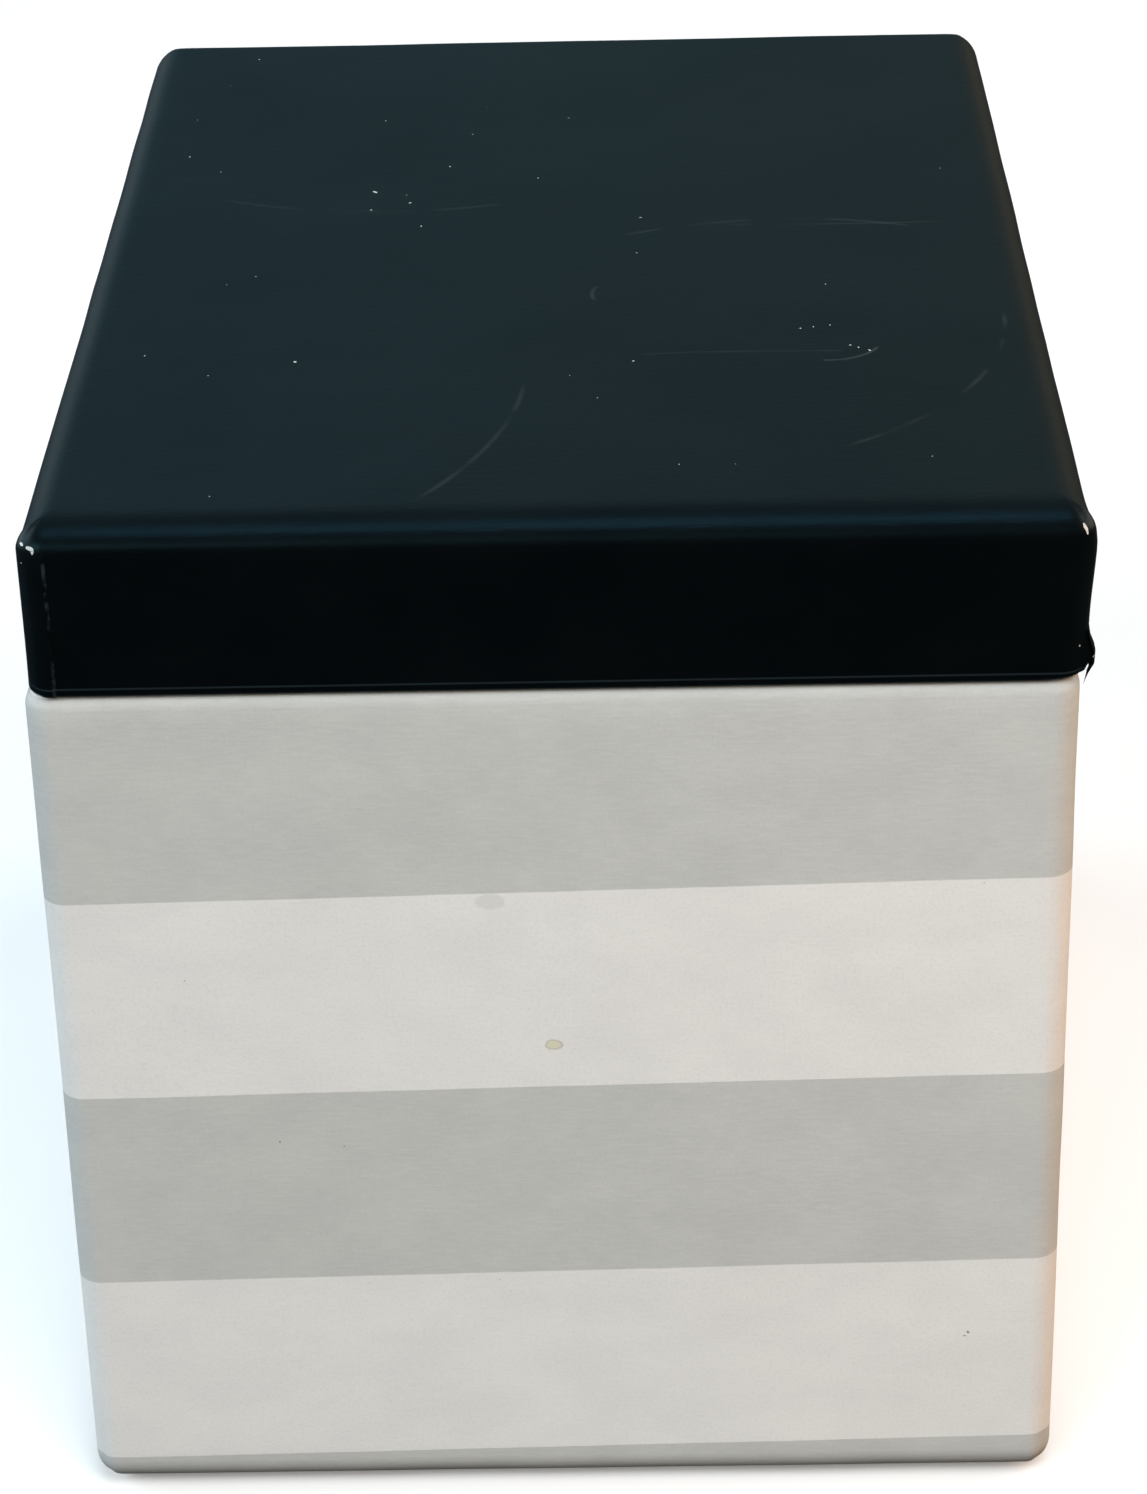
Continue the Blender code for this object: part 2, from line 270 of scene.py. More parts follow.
def carried_round_tree():
    """Carries a folded section round the plan. Each point keeps its inset from the outside, so
    the corner's radius shrinks with the inset, and past that radius the corner is a sharp fold."""
    tree, given = geometry_tree("section_carried_round_the_box", (
        ("Plan", "NodeSocketGeometry"), ("Section", "NodeSocketObject"),
        ("Half Size", "NodeSocketVector"), ("Corner Radius", "NodeSocketFloat"),
        ("Weld Distance", "NodeSocketFloat"), ("Paper", "NodeSocketMaterial")), "Wrap")
    section = wire(tree, "GeometryNodeObjectInfo", {"Object": given["Section"]})
    here = tree.nodes.new("GeometryNodeInputPosition").outputs[0]
    kept = []
    for line in (given["Plan"], section.outputs["Geometry"]):
        curve = wire(tree, "GeometryNodeMeshToCurve", {"Mesh": line})
        keep = tree.nodes.new("GeometryNodeCaptureAttribute")
        keep.capture_items.new("VECTOR", "Place")
        tree.links.new(curve.outputs[0], keep.inputs["Geometry"])
        tree.links.new(here, keep.inputs["Place"])
        kept.append(keep)
    plan, fold = kept
    swept = wire(tree, "GeometryNodeCurveToMesh",
                 {"Curve": plan.outputs["Geometry"], "Profile Curve": fold.outputs["Geometry"]})
    folded = wire(tree, "ShaderNodeSeparateXYZ", {0: fold.outputs["Place"]})
    inset, level = folded.outputs[0], folded.outputs[1]
    radius = given["Corner Radius"]
    inside = wire(tree, "ShaderNodeMath", {0: radius, 1: inset}, operation="SUBTRACT")
    reach = wire(tree, "ShaderNodeMath", {0: inside, 1: 0.0}, operation="MAXIMUM")
    beyond = wire(tree, "ShaderNodeMath", {0: inset, 1: radius}, operation="SUBTRACT")
    shrink = wire(tree, "ShaderNodeMath", {0: beyond, 1: 0.0}, operation="MAXIMUM")
    station = plan.outputs["Place"]
    core = given["Half Size"]
    nearest = []
    for less in (radius, shrink):
        both = wire(tree, "ShaderNodeCombineXYZ", {"X": less, "Y": less})
        core = wire(tree, "ShaderNodeVectorMath", {0: core, 1: both}, operation="SUBTRACT")
        least = wire(tree, "ShaderNodeVectorMath", {0: core, "Scale": -1.0}, operation="SCALE")
        above = wire(tree, "ShaderNodeVectorMath", {0: station, 1: least}, operation="MAXIMUM")
        nearest.append(
            wire(tree, "ShaderNodeVectorMath", {0: above, 1: core}, operation="MINIMUM"))
    away = wire(tree, "ShaderNodeVectorMath", {0: station, 1: nearest[0]}, operation="SUBTRACT")
    outwards = wire(tree, "ShaderNodeVectorMath", {0: away}, operation="NORMALIZE")
    stood_off = wire(tree, "ShaderNodeVectorMath", {0: outwards, "Scale": reach},
                     operation="SCALE")
    placed = wire(tree, "ShaderNodeVectorMath", {0: nearest[1], 1: stood_off}, operation="ADD")
    flat = wire(tree, "ShaderNodeVectorMath", {0: placed, 1: (1, 1, 0)}, operation="MULTIPLY")
    raised = wire(tree, "ShaderNodeCombineXYZ", {"Z": level})
    position = wire(tree, "ShaderNodeVectorMath", {0: flat, 1: raised}, operation="ADD")
    moved = wire(tree, "GeometryNodeSetPosition", {"Geometry": swept, "Position": position})
    welded = wire(tree, "GeometryNodeMergeByDistance",
                  {"Geometry": moved, "Distance": given["Weld Distance"]})
    real = wire(tree, "GeometryNodeRealizeInstances", {"Geometry": welded})
    papered = wire(tree, "GeometryNodeSetMaterial",
                   {"Geometry": real, "Material": given["Paper"]})
    out = tree.nodes.new("NodeGroupOutput")
    tree.links.new(papered.outputs[0], out.inputs["Wrap"])
    return tree


def evaluated_copy(name, source, tree, settings):
    """Runs a tree on an object, and gives back the result as a plain mesh object."""
    modifier = source.modifiers.new(tree.name, "NODES")
    modifier.node_group = tree
    sockets = {s.name: s.identifier for s in tree.interface.items_tree if s.in_out == "INPUT"}
    for setting, value in settings.items():
        modifier[sockets[setting]] = value
    graph = bpy.context.evaluated_depsgraph_get()
    mesh = bpy.data.meshes.new_from_object(source.evaluated_get(graph))
    mesh.name = name
    source.modifiers.remove(modifier)
    made = bpy.data.objects.new(name, mesh)
    bpy.context.scene.collection.objects.link(made)
    return made


carried_round = carried_round_tree()


def wrap_round(name, plan, half_size, radius, shown_path, hidden_path, closed, paper):
    """A folded sheet of paper: its shown face's path and its hidden face's, carried round."""
    outline = chain(name + "_plan", plan, len(plan), closed=True)
    path = list(shown_path) + list(hidden_path)[::-1]
    section = chain(name + "_section", path, len(shown_path), closed)
    settings = {"Section": section, "Half Size": (*half_size, 0.0), "Corner Radius": radius,
                "Weld Distance": 0.01 * MM, "Paper": paper}
    made = evaluated_copy(name, outline, carried_round, settings)
    for spent in (outline, section):
        bpy.data.objects.remove(spent)
    return made


CUT_EDGE = math.radians(50)    # a bend sharper than this is an edge of the paper


def face_outwards(mesh):
    """Points a closed sheet's faces outwards and shades it smooth, but for its cut edges."""
    bm = bmesh.new()
    bm.from_mesh(mesh)
    bmesh.ops.recalc_face_normals(bm, faces=bm.faces)
    bm.to_mesh(mesh)
    bm.free()
    mesh.shade_smooth()
    mesh.set_sharp_from_angle(angle=CUT_EDGE)


WRAP_PAPER = 0.35 * MM
LAP_EDGE = 0.16 * MM           # the cut edge of a lapped paper, seen face on
CORNER_RADIUS = 2.9 * MM
FOOT_FOLD = 3.9 * MM
RIM_FOLD = 1.9 * MM
INNER_RIM_FOLD = 1.0 * MM
TURNED_UNDER = 14 * MM
TURNED_IN = 12 * MM
TURN_IN_DEPTH = 4.05 * MM      # from the outside to the paper's face inside the rim
BAND = 25 * MM                 # height of one printed band
FIRST_BAND = 5.84 * MM         # where the lowest off-white band starts
INK_EDGE = 0.06 * MM           # half the width over which the ink ends
PRINT_TILT = math.radians(0.85)  # the sheet was glued a little out of true
SEAM_LAP = 9 * MM              # how far the sheet's end lies over its start, on the back wall
LAP_RISE = 0.20 * MM
STAIN = (-1.0 * MM, 61.2 * MM)  # a dried drop on the front, across and up
STAIN_SIZE = (0.85 * MM, 0.58 * MM)
SMUDGE = (-7.5 * MM, 79.6 * MM)
SMUDGE_SIZE = (1.2 * MM, 0.7 * MM)
RIM_SHADE_BAND = (2.2 * MM, 0.8 * MM)  # painted shade below the rim, where the lid's edge overhangs it, from here to here

wrap_low, wrap_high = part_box("base_wrap")
half_plan = (wrap_high.x, wrap_high.y)
base_plan = plan_outline(*half_plan, CORNER_RADIUS, 8, 56, SEAM_LAP)


def striped_paper():
    """Clay-coated paper, litho printed: soft satin, fine laid fibres along the sheet, faint
    cloudiness in both colours, painted shade along the rim where the lid overhangs it, with a dried
    drop and a smudge."""
    made, tree, shader, place = start_material("striped_coated_paper", 0.5, 0.35)
    spot = wire(tree, "ShaderNodeSeparateXYZ", {0: place})
    rise = wire(tree, "ShaderNodeMath", {0: spot, 1: math.tan(PRINT_TILT)}, operation="MULTIPLY")
    level = wire(tree, "ShaderNodeMath", {0: spot.outputs[2], 1: rise}, operation="SUBTRACT")
    wander = grain(tree, place, 2.5 * MM, (1, 1, 1), 2.0)
    slip = wire(tree, "ShaderNodeMath", {0: wander, 1: 0.10 * MM}, operation="MULTIPLY")
    printed = wire(tree, "ShaderNodeMath", {0: level, 1: slip}, operation="ADD")
    offset = wire(tree, "ShaderNodeMath", {0: printed, 1: FIRST_BAND - 4 * BAND},
                  operation="SUBTRACT")
    turn = wire(tree, "ShaderNodeMath", {0: offset, 1: 2 * BAND}, operation="FLOORED_MODULO")
    lower_edge = wire(tree, "ShaderNodeMapRange",
                      {"Value": turn, "From Min": BAND - INK_EDGE, "From Max": BAND + INK_EDGE},
                      interpolation_type="SMOOTHSTEP")
    upper_edge = wire(tree, "ShaderNodeMapRange",
                      {"Value": turn, "From Min": 2 * BAND - INK_EDGE, "From Max": 2 * BAND},
                      interpolation_type="SMOOTHSTEP")
    is_grey = wire(tree, "ShaderNodeMath", {0: lower_edge, 1: upper_edge}, operation="SUBTRACT")
    cloud = grain(tree, place, 7 * MM, (1.6, 1.6, 1))
    fibre = grain(tree, place, 0.34 * MM, (7, 7, 1), 4.0)
    speck = grain(tree, place, 0.35 * MM, (1, 1, 1), 3.0, (1.7, 5.2, 0.3))
    white = laid_over(tree, linear("e2e2df"), linear("e7e7e3"), cloud, 0.3, 0.7)
    grey = laid_over(tree, linear("bfc1be"), linear("c5c7c3"), cloud, 0.3, 0.7)
    colour = wire(tree, "ShaderNodeMix", {0: is_grey, 6: white, 7: grey},
                  data_type="RGBA").outputs[2]
    colour = laid_over(tree, colour, linear("f4f4ee"), fibre, 0.35, 0.75, 0.10)
    colour = laid_over(tree, colour, linear("9a9c96"), speck, 0.45, 0.7, 0.10)
    # Painted shade: the paper is darkened just below the rim, where the lid's edge overhangs it.
    colour = laid_over(tree, colour, linear("6f706c"), spot.outputs[2],
                       wrap_high.z - RIM_SHADE_BAND[0], wrap_high.z - RIM_SHADE_BAND[1], 0.24)
    for blot, drop, edge, amount, tone in (
            (STAIN, STAIN_SIZE, 1.3, 0.45, "96917a"), (STAIN, STAIN_SIZE, 1.0, 0.80, "dedbbf"),
            (SMUDGE, SMUDGE_SIZE, 1.6, 0.16, "8d8c86")):
        laid = wire(tree, "ShaderNodeMapping", {
            "Vector": place, "Location": (-blot[0] / drop[0], 0, -blot[1] / drop[1]),
            "Scale": (1 / drop[0], 1 / wrap_high.y, 1 / drop[1])})
        flat = wire(tree, "ShaderNodeVectorMath", {0: laid, 1: (0, 1, 0)}, operation="ADD")
        reach = wire(tree, "ShaderNodeVectorMath", {0: flat}, operation="LENGTH")
        ragged = wire(tree, "ShaderNodeMath", {0: reach.outputs["Value"], 1: wander},
                      operation="ADD")
        colour = laid_over(tree, colour, linear(tone), ragged, edge + 0.5, edge + 0.3, amount)
    tree.links.new(colour, shader.inputs["Base Color"])
    both = wire(tree, "ShaderNodeMath", {0: fibre, 1: speck}, operation="ADD")
    relief(tree, shader, both.outputs[0], 0.03 * MM, 0.5)
    return made


base_fold = fold_round([
    (TURNED_UNDER, wrap_low.z, 0),
    (0, wrap_low.z, FOOT_FOLD),
    (0, wrap_high.z, RIM_FOLD),
    (TURN_IN_DEPTH, wrap_high.z, INNER_RIM_FOLD),
    (TURN_IN_DEPTH, wrap_high.z - TURNED_IN, 0),
], 8)
striped_wrap = wrap_round("striped_wrap", base_plan, half_plan, CORNER_RADIUS,
                          stepped(base_fold, 2 * MM), other_face(base_fold, -WRAP_PAPER),
                          True, striped_paper())


def smooth(value, low, high):
    """0 below low and 1 above high, with a soft ramp between. Low may be the larger."""
    share = max(0.0, min(1.0, (value - low) / (high - low)))
    return share * share * (3 - 2 * share)


def cockle(mesh, height, length, seed, resting):
    """Glued paper never lies dead flat: its shown face swells and dips by a hair, but for where
    it rests on something, at a level."""
    shown = [point.value for point in mesh.attributes["shown"].data]
    outwards = [vertex.normal.copy() for vertex in mesh.vertices]
    for vertex, normal, amount in zip(mesh.vertices, outwards, shown):
        loose = min(smooth(abs(vertex.co.z - level), 0.1 * MM, 1.5 * MM) for level in resting)
        at = vertex.co / length + Vector((seed, 2 * seed, -seed))
        vertex.co += normal * height * noise.noise(at) * amount * loose


def on_outside(inset):
    """1 on the outside of a wall and 0 where the paper is turned in, so that a shift of the
    outside doesn't press the margin into the board."""
    return smooth(inset, 3.4 * MM, 0.8 * MM)


BASE_SHIFT = -0.25 * MM        # the wrap was glued a hair to the left
FOOT_PINCH = 0.22 * MM
FOOT_PINCH_HEIGHT = 4 * MM


def shape_base_paper(mesh):
    """The seam on the back wall, a pinched crease at each lower corner, and the whole outside's
    shift."""
    half_x, half_y = half_plan
    foot = wrap_low.z + FOOT_FOLD
    shown = [point.value for point in mesh.attributes["shown"].data]
    for vertex, amount in zip(mesh.vertices, shown):
        x, y, z = vertex.co
        inset = min(half_x - abs(x), half_y - abs(y))
        if half_y - y < 0.4 * MM and z > wrap_low.z + 1 * MM:
            on_top = smooth(half_x - x, SEAM_LAP + LAP_EDGE / 2, SEAM_LAP - LAP_EDGE / 2)
            tucked = smooth(z, wrap_high.z - 0.2 * MM, wrap_high.z - RIM_FOLD)
            vertex.co.y += LAP_RISE * on_top * tucked * smooth(z, wrap_low.z, foot) * amount
        corner = Vector((abs(x) - half_x + CORNER_RADIUS, abs(y) - half_y + CORNER_RADIUS))
        if min(corner) > 0 and z < foot + FOOT_PINCH_HEIGHT:
            off_diagonal = abs(math.atan2(corner.y, corner.x) - math.pi / 4)
            pinch = smooth(off_diagonal, math.radians(20), 0)
            pinch *= smooth(z, foot + FOOT_PINCH_HEIGHT, foot)
            inwards = Vector((-math.copysign(corner.x, x), -math.copysign(corner.y, y), 0))
            vertex.co += inwards.normalized() * FOOT_PINCH * pinch * amount
        held = on_outside(inset) if z > foot else 1.0
        vertex.co.x += BASE_SHIFT * held


shape_base_paper(striped_wrap.data)
cockle(striped_wrap.data, 0.10 * MM, 16 * MM, 4.3, (wrap_low.z, wrap_high.z))
face_outwards(striped_wrap.data)
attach(striped_wrap, "base")
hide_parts("base_wrap")


# ------------------------------------------------------------
# Underside sheet and the two lining sheets.
# A plain uncoated sheet glued over the turned-under margin, which the box stands on, and black
# lining paper on the inside of the floor and of the lid.

def plain_paper(name, colour, deep, roughness):
    """Uncoated offset paper: matt, even, with the cloudiness of its pulp."""
    made, tree, shader, place = start_material(name, roughness, 0.3)
    cloud = grain(tree, place, 5 * MM)
    fibre = grain(tree, place, 0.5 * MM, (3, 1, 1), 3.0)
    tone = laid_over(tree, linear(colour), linear(deep), cloud, 0.3, 0.7)
    tone = laid_over(tree, tone, linear(deep), fibre, 0.4, 0.8, 0.25)
    tree.links.new(tone, shader.inputs["Base Color"])
    relief(tree, shader, fibre, 0.03 * MM, 0.5)
    return made


cover(["base_underside_sheet"], plain_paper("uncoated_white_paper", "d9d8d0", "cfcec5", 0.85))
lining = plain_paper("black_lining_paper", "1c2022", "262b2d", 0.7)
cover(["floor_lining_sheet", "lid_lining_sheet"], lining)


# ------------------------------------------------------------
# Black paper on the neck.
# Black coated paper: outside where the neck stands out of the base, over its top edge, and down
# the whole inside of the box to the floor.

def black_paper(name, seed):
    """Black coated paper with a satin varnish: near black seen straight on, blue-green where it
    catches the light, with fine fibres just under the varnish."""
    made, tree, shader, place = start_material(name, 0.38, 0.16)
    shader.inputs["Specular Tint"].default_value = linear("8adff0")
    shader.inputs["Sheen Weight"].default_value = 0.015
    shader.inputs["Sheen Roughness"].default_value = 0.5
    shader.inputs["Sheen Tint"].default_value = linear("5ad2ea")
    offset = (seed, 1.3 * seed, 0.6 * seed)
    fibre = grain(tree, place, 0.36 * MM, (5, 2, 1), 4.0, offset)
    cloud = grain(tree, place, 14 * MM, (1, 1, 1), 3.0, offset)
    rub = grain(tree, place, 30 * MM, (1, 1, 1), 5.0, (2 * seed, 0, 1))
    colour = laid_over(tree, linear("040506"), linear("060708"), cloud, 0.3, 0.7)
    tree.links.new(colour, shader.inputs["Base Color"])
    dull = wire(tree, "ShaderNodeMapRange",
                {"Value": rub, "From Min": 0.3, "From Max": 0.75, "To Min": 0.37, "To Max": 0.42},
                interpolation_type="SMOOTHSTEP")
    tree.links.new(dull.outputs[0], shader.inputs["Roughness"])
    relief(tree, shader, fibre, 0.07 * MM, 0.6)
    return made, tree, shader, place


NECK_PAPER = 0.3 * MM
NECK_FOLD = 0.9 * MM
neck_low, neck_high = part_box("neck_wrap")
neck_outset = half_plan[0] - neck_high.x            # the neck paper's outside face
floor_sheet_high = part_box("floor_lining_sheet")[1]
neck_inside = half_plan[0] - floor_sheet_high.x - 0.3 * MM
NECK_TUCK = 10 * MM
neck_fold = fold_round([
    (neck_outset, wrap_high.z - NECK_TUCK, 0),
    (neck_outset, neck_high.z, NECK_FOLD),
    (neck_inside, neck_high.z, NECK_FOLD),
    (neck_inside, neck_low.z, 0),
], 6)
neck_black_wrap = wrap_round("neck_black_wrap", base_plan, half_plan, CORNER_RADIUS,
                             stepped(neck_fold, 4 * MM), other_face(neck_fold, -NECK_PAPER),
                             True, black_paper("black_neck_paper", 2.0)[0])
cockle(neck_black_wrap.data, 0.06 * MM, 18 * MM, 1.9, (neck_low.z, neck_high.z))
face_outwards(neck_black_wrap.data)
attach(neck_black_wrap, "base")
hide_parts("neck_wrap")


# ------------------------------------------------------------
# Black wrap of the lid.
# One sheet of the same black paper: laid over the top board, down the walls, and turned in under
# the rim. The top board's edges are pressed round, so the paper rolls over them softly.

LID_FOLD = 3.8 * MM
lid_low, lid_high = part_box("lid_wrap")
FRONT_FOLD = (5.6 * MM, 2.6 * MM)  # the front's fold is pressed longer across than down
LID_PAPER = 0.12 * MM
MIDDLE_INSET = 9 * MM          # the flat middle of the top starts this far in
LID_RIM_FOLD = 0.7 * MM
LID_SAG = 0.25 * MM            # the paper under the rim beds down on the base's rim
LID_LIP = 0.48 * MM            # its outer edge hangs a little lower, outside the base's round rim
LAP = 3.1 * MM                 # each wall's paper laps this far round the corner onto the next
lid_rim = lid_low.z - LID_SAG
lid_wall_top = lid_high.z - LID_FOLD
lid_plan = plan_outline(*half_plan, CORNER_RADIUS, 8, 56, LAP)
lid_fold = fold_round([
    (MIDDLE_INSET, lid_high.z, 0),
    (0, lid_high.z, LID_FOLD),
    (0, lid_rim - LID_LIP, LID_RIM_FOLD),
    (2.2 * MM, lid_rim, 0),
    (TURN_IN_DEPTH, lid_rim, LID_RIM_FOLD),
    (TURN_IN_DEPTH, lid_rim + TURNED_IN, 0),
], 10)


def lay_middle(mesh, plan, inset, levels):
    """Fills the open middle of the lid's paper with a grid at each level, welded to its edge."""
    half_x, half_y = half_plan[0] - inset, half_plan[1] - inset
    xs = sorted({round(max(-half_x, min(half_x, p.x)), 7) for p in plan})
    ys = sorted({round(max(-half_y, min(half_y, p.y)), 7) for p in plan})
    bm = bmesh.new()
    bm.from_mesh(mesh)
    for level, shown in levels:
        layer = bm.verts.layers.float["shown"]
        rows = []
        for y in ys:
            row = [bm.verts.new((x, y, level)) for x in xs]
            for vertex in row:
                vertex[layer] = shown
            rows.append(row)
        for low, high in zip(rows, rows[1:]):
            for at in range(len(xs) - 1):
                bm.faces.new((low[at], low[at + 1], high[at + 1], high[at]))
    bmesh.ops.remove_doubles(bm, verts=bm.verts, dist=0.01 * MM)
    bm.to_mesh(mesh)
    bm.free()


HIGHLIGHT_LINE_HEIGHT = 0.85 * MM      # a faint painted highlight line runs round this far above the rim, where light catches the turned paper


def lid_black_paper():
    """The lid's black paper has been handled: laps whose cut edges are pale from scuffing and a
    painted highlight, a painted highlight line just above the rim, and long fine arcs where
    something was slid across the varnish."""
    made, tree, shader, place = black_paper("black_lid_paper", 5.0)
    body = shader.inputs["Base Color"].links[0].from_socket
    spot = wire(tree, "ShaderNodeSeparateXYZ", {0: place})
    broken = wire(tree, "ShaderNodeMapRange",
                  {"Value": grain(tree, place, 1.6 * MM, (1, 1, 1), 4.0, (4, 4, 4)),
                   "From Min": 0.42, "From Max": 0.62}, interpolation_type="SMOOTHSTEP")
    # The laps' cut edges: pale from scuffing, and partly a painted bluish highlight where light
    # catches the raised edge.
    worn_and_highlit_edge = wire(tree, "ShaderNodeAttribute", attribute_name="worn_and_highlit_edge")
    scuffed_and_highlit = wire(tree, "ShaderNodeMath", {0: worn_and_highlit_edge.outputs["Fac"], 1: broken},
                  operation="MULTIPLY")
    colour = wire(tree, "ShaderNodeMix", {0: scuffed_and_highlit, 6: body, 7: linear("6d8f9c")},
                  data_type="RGBA").outputs[2]
    # Painted highlight: a faint pale blue line round the walls just above the rim, where light
    # catches the turned paper.
    above_rim = wire(tree, "ShaderNodeMath", {0: spot.outputs[2], 1: lid_rim + HIGHLIGHT_LINE_HEIGHT},
                     operation="SUBTRACT")
    off_highlight_line = wire(tree, "ShaderNodeMath", {0: above_rim}, operation="ABSOLUTE")
    colour = laid_over(tree, colour, linear("5c707a"), off_highlight_line, 0.16 * MM, 0.05 * MM, 0.10)
    up = wire(tree, "ShaderNodeVectorMath", {0: place, 1: (1, 1, 0)}, operation="MULTIPLY")
    patchy = wire(tree, "ShaderNodeMapRange",
                  {"Value": grain(tree, place, 9 * MM, (1, 1, 1), 3.0, (9, 2, 5)),
                   "From Min": 0.35, "From Max": 0.60}, interpolation_type="SMOOTHSTEP")
    # Each arc: centre across and back, radius, the bearing of its middle and its half length as
    # angles, its width, and how strongly it shows.
    for across, back, radius, bearing, half_length, width, strength in (
            (-62, -38, 59, -19, 17, 0.50, 0.020), (8, -24, 43.5, -28, 30, 0.50, 0.020),
            (27, -35, 42, 92, 26, 0.50, 0.018), (9.5, -16, 5.2, 178, 26, 0.40, 0.034),
            (-20, 60, 48, -95, 22, 0.50, 0.014), (31, -31, 6, -60, 40, 0.35, 0.040),
            (34, 205, 200, -90, 4, 0.40, 0.016), (21, -234, 200, 90, 3.5, 0.40, 0.014)):
        reach = wire(tree, "ShaderNodeVectorMath",
                     {0: up, 1: (across * MM, back * MM, 0)}, operation="SUBTRACT")
        length = wire(tree, "ShaderNodeVectorMath", {0: reach}, operation="LENGTH")
        beside = wire(tree, "ShaderNodeMath", {0: length.outputs["Value"], 1: radius * MM},
                      operation="SUBTRACT")
        beside = wire(tree, "ShaderNodeMath", {0: beside}, operation="ABSOLUTE")
        line = wire(tree, "ShaderNodeMapRange",
                    {"Value": beside, "From Min": width * MM, "From Max": 0.0},
                    interpolation_type="SMOOTHSTEP")
        aim = math.radians(bearing)
        facing = wire(tree, "ShaderNodeVectorMath", {0: reach}, operation="NORMALIZE")
        along = wire(tree, "ShaderNodeVectorMath",
                     {0: facing, 1: (math.cos(aim), math.sin(aim), 0)}, operation="DOT_PRODUCT")
        fades = math.cos(math.radians(half_length))
        part = wire(tree, "ShaderNodeMapRange",
                    {"Value": along.outputs["Value"], "From Min": fades,
                     "From Max": (1 + 2 * fades) / 3, "To Max": strength},
                    interpolation_type="SMOOTHSTEP")
        mark = wire(tree, "ShaderNodeMath", {0: line, 1: part}, operation="MULTIPLY")
        mark = wire(tree, "ShaderNodeMath", {0: mark, 1: patchy}, operation="MULTIPLY")
        colour = wire(tree, "ShaderNodeMix", {0: mark, 6: colour, 7: linear("c8d2d2")},
                      data_type="RGBA").outputs[2]
    tree.links.new(colour, shader.inputs["Base Color"])
    return made


lid_paper = lid_black_paper()
lid_black_wrap = wrap_round("lid_black_wrap", lid_plan, half_plan, CORNER_RADIUS,
                            stepped(lid_fold, 1.2 * MM), other_face(lid_fold, LID_PAPER),
                            False, lid_paper)
lay_middle(lid_black_wrap.data, lid_plan, MIDDLE_INSET,
           [(lid_high.z, 1.0), (lid_high.z - LID_PAPER, 0.0)])


def softened(inset, z):
    """How far into the fold between wall and top a point is: 0 at either end, 1 half way."""
    if z <= lid_wall_top or inset >= LID_FOLD:
        return 0.0
    return math.sin(2 * math.atan2(z - lid_wall_top, LID_FOLD - inset))


def pressed_front(side, end, z):
    """How far the front's fold is moved back and up from the round one, fading along the side
    walls past each front corner."""
    inset = min(side, end)
    share = 1.0 if end < side else smooth(end - side, 7 * MM, 0)
    longer, shallower = FRONT_FOLD[0] - LID_FOLD, LID_FOLD - FRONT_FOLD[1]
    if z <= lid_wall_top:
        up = shallower * max(0.0, z - lid_rim) / (lid_wall_top - lid_rim)
        return Vector((0, 0, share * up * on_outside(inset)))
    if inset >= LID_FOLD:
        return Vector((0, share * longer * smooth(inset, MIDDLE_INSET, LID_FOLD), 0))
    turn = math.atan2(LID_FOLD - inset, z - lid_wall_top)
    return Vector((0, share * longer * (1 - math.sin(turn)),
                   share * shallower * (1 - math.cos(turn))))


LOOSE_HEIGHT = 5.2 * MM        # from the rim up to where the glue still holds the lap's end
LOOSE_LIFT = 1.0 * MM
SLIVER = 1.7 * MM              # how far a torn sliver hangs below the rim


def loose_lift(z):
    """How far the loose paper stands off the wall: it swings out, and back in at its edge."""
    down = (lid_rim + LOOSE_HEIGHT - z) / (LOOSE_HEIGHT - 0.5 * MM)
    return LOOSE_LIFT * smooth(down, 0.0, 0.72) * smooth(down, 1.12, 0.78)


LEAN_OUT = (0.28 * MM, 0.20 * MM)  # tops of the right wall, and of the front and back walls
# how pale each lap's cut edge is painted: partly scuffing, partly painted highlight
LAP_EDGE_SCUFF_AND_HIGHLIGHT = 0.10
LEAN_LEVEL = 0.17              # the share of its height at which a wall stays in place
LEAN_REACH = 14 * MM           # how far onto the top the lean carries
LEFT_SET_IN = 0.04 * MM
LEFT_BOW = 0.12 * MM           # the left wall's middle is drawn in
LEFT_PRESS = 0.26 * MM
RIGHT_PRESS = 0.22 * MM
BUILT_UP = 0.40 * MM           # layers of folded paper swell the front right corner
CORNER_REACH = 12 * MM
RIM_KICK = 0.45 * MM           # and the rim rises there
LID_SHIFT = 0.25 * MM          # the lid sits a hair to the right


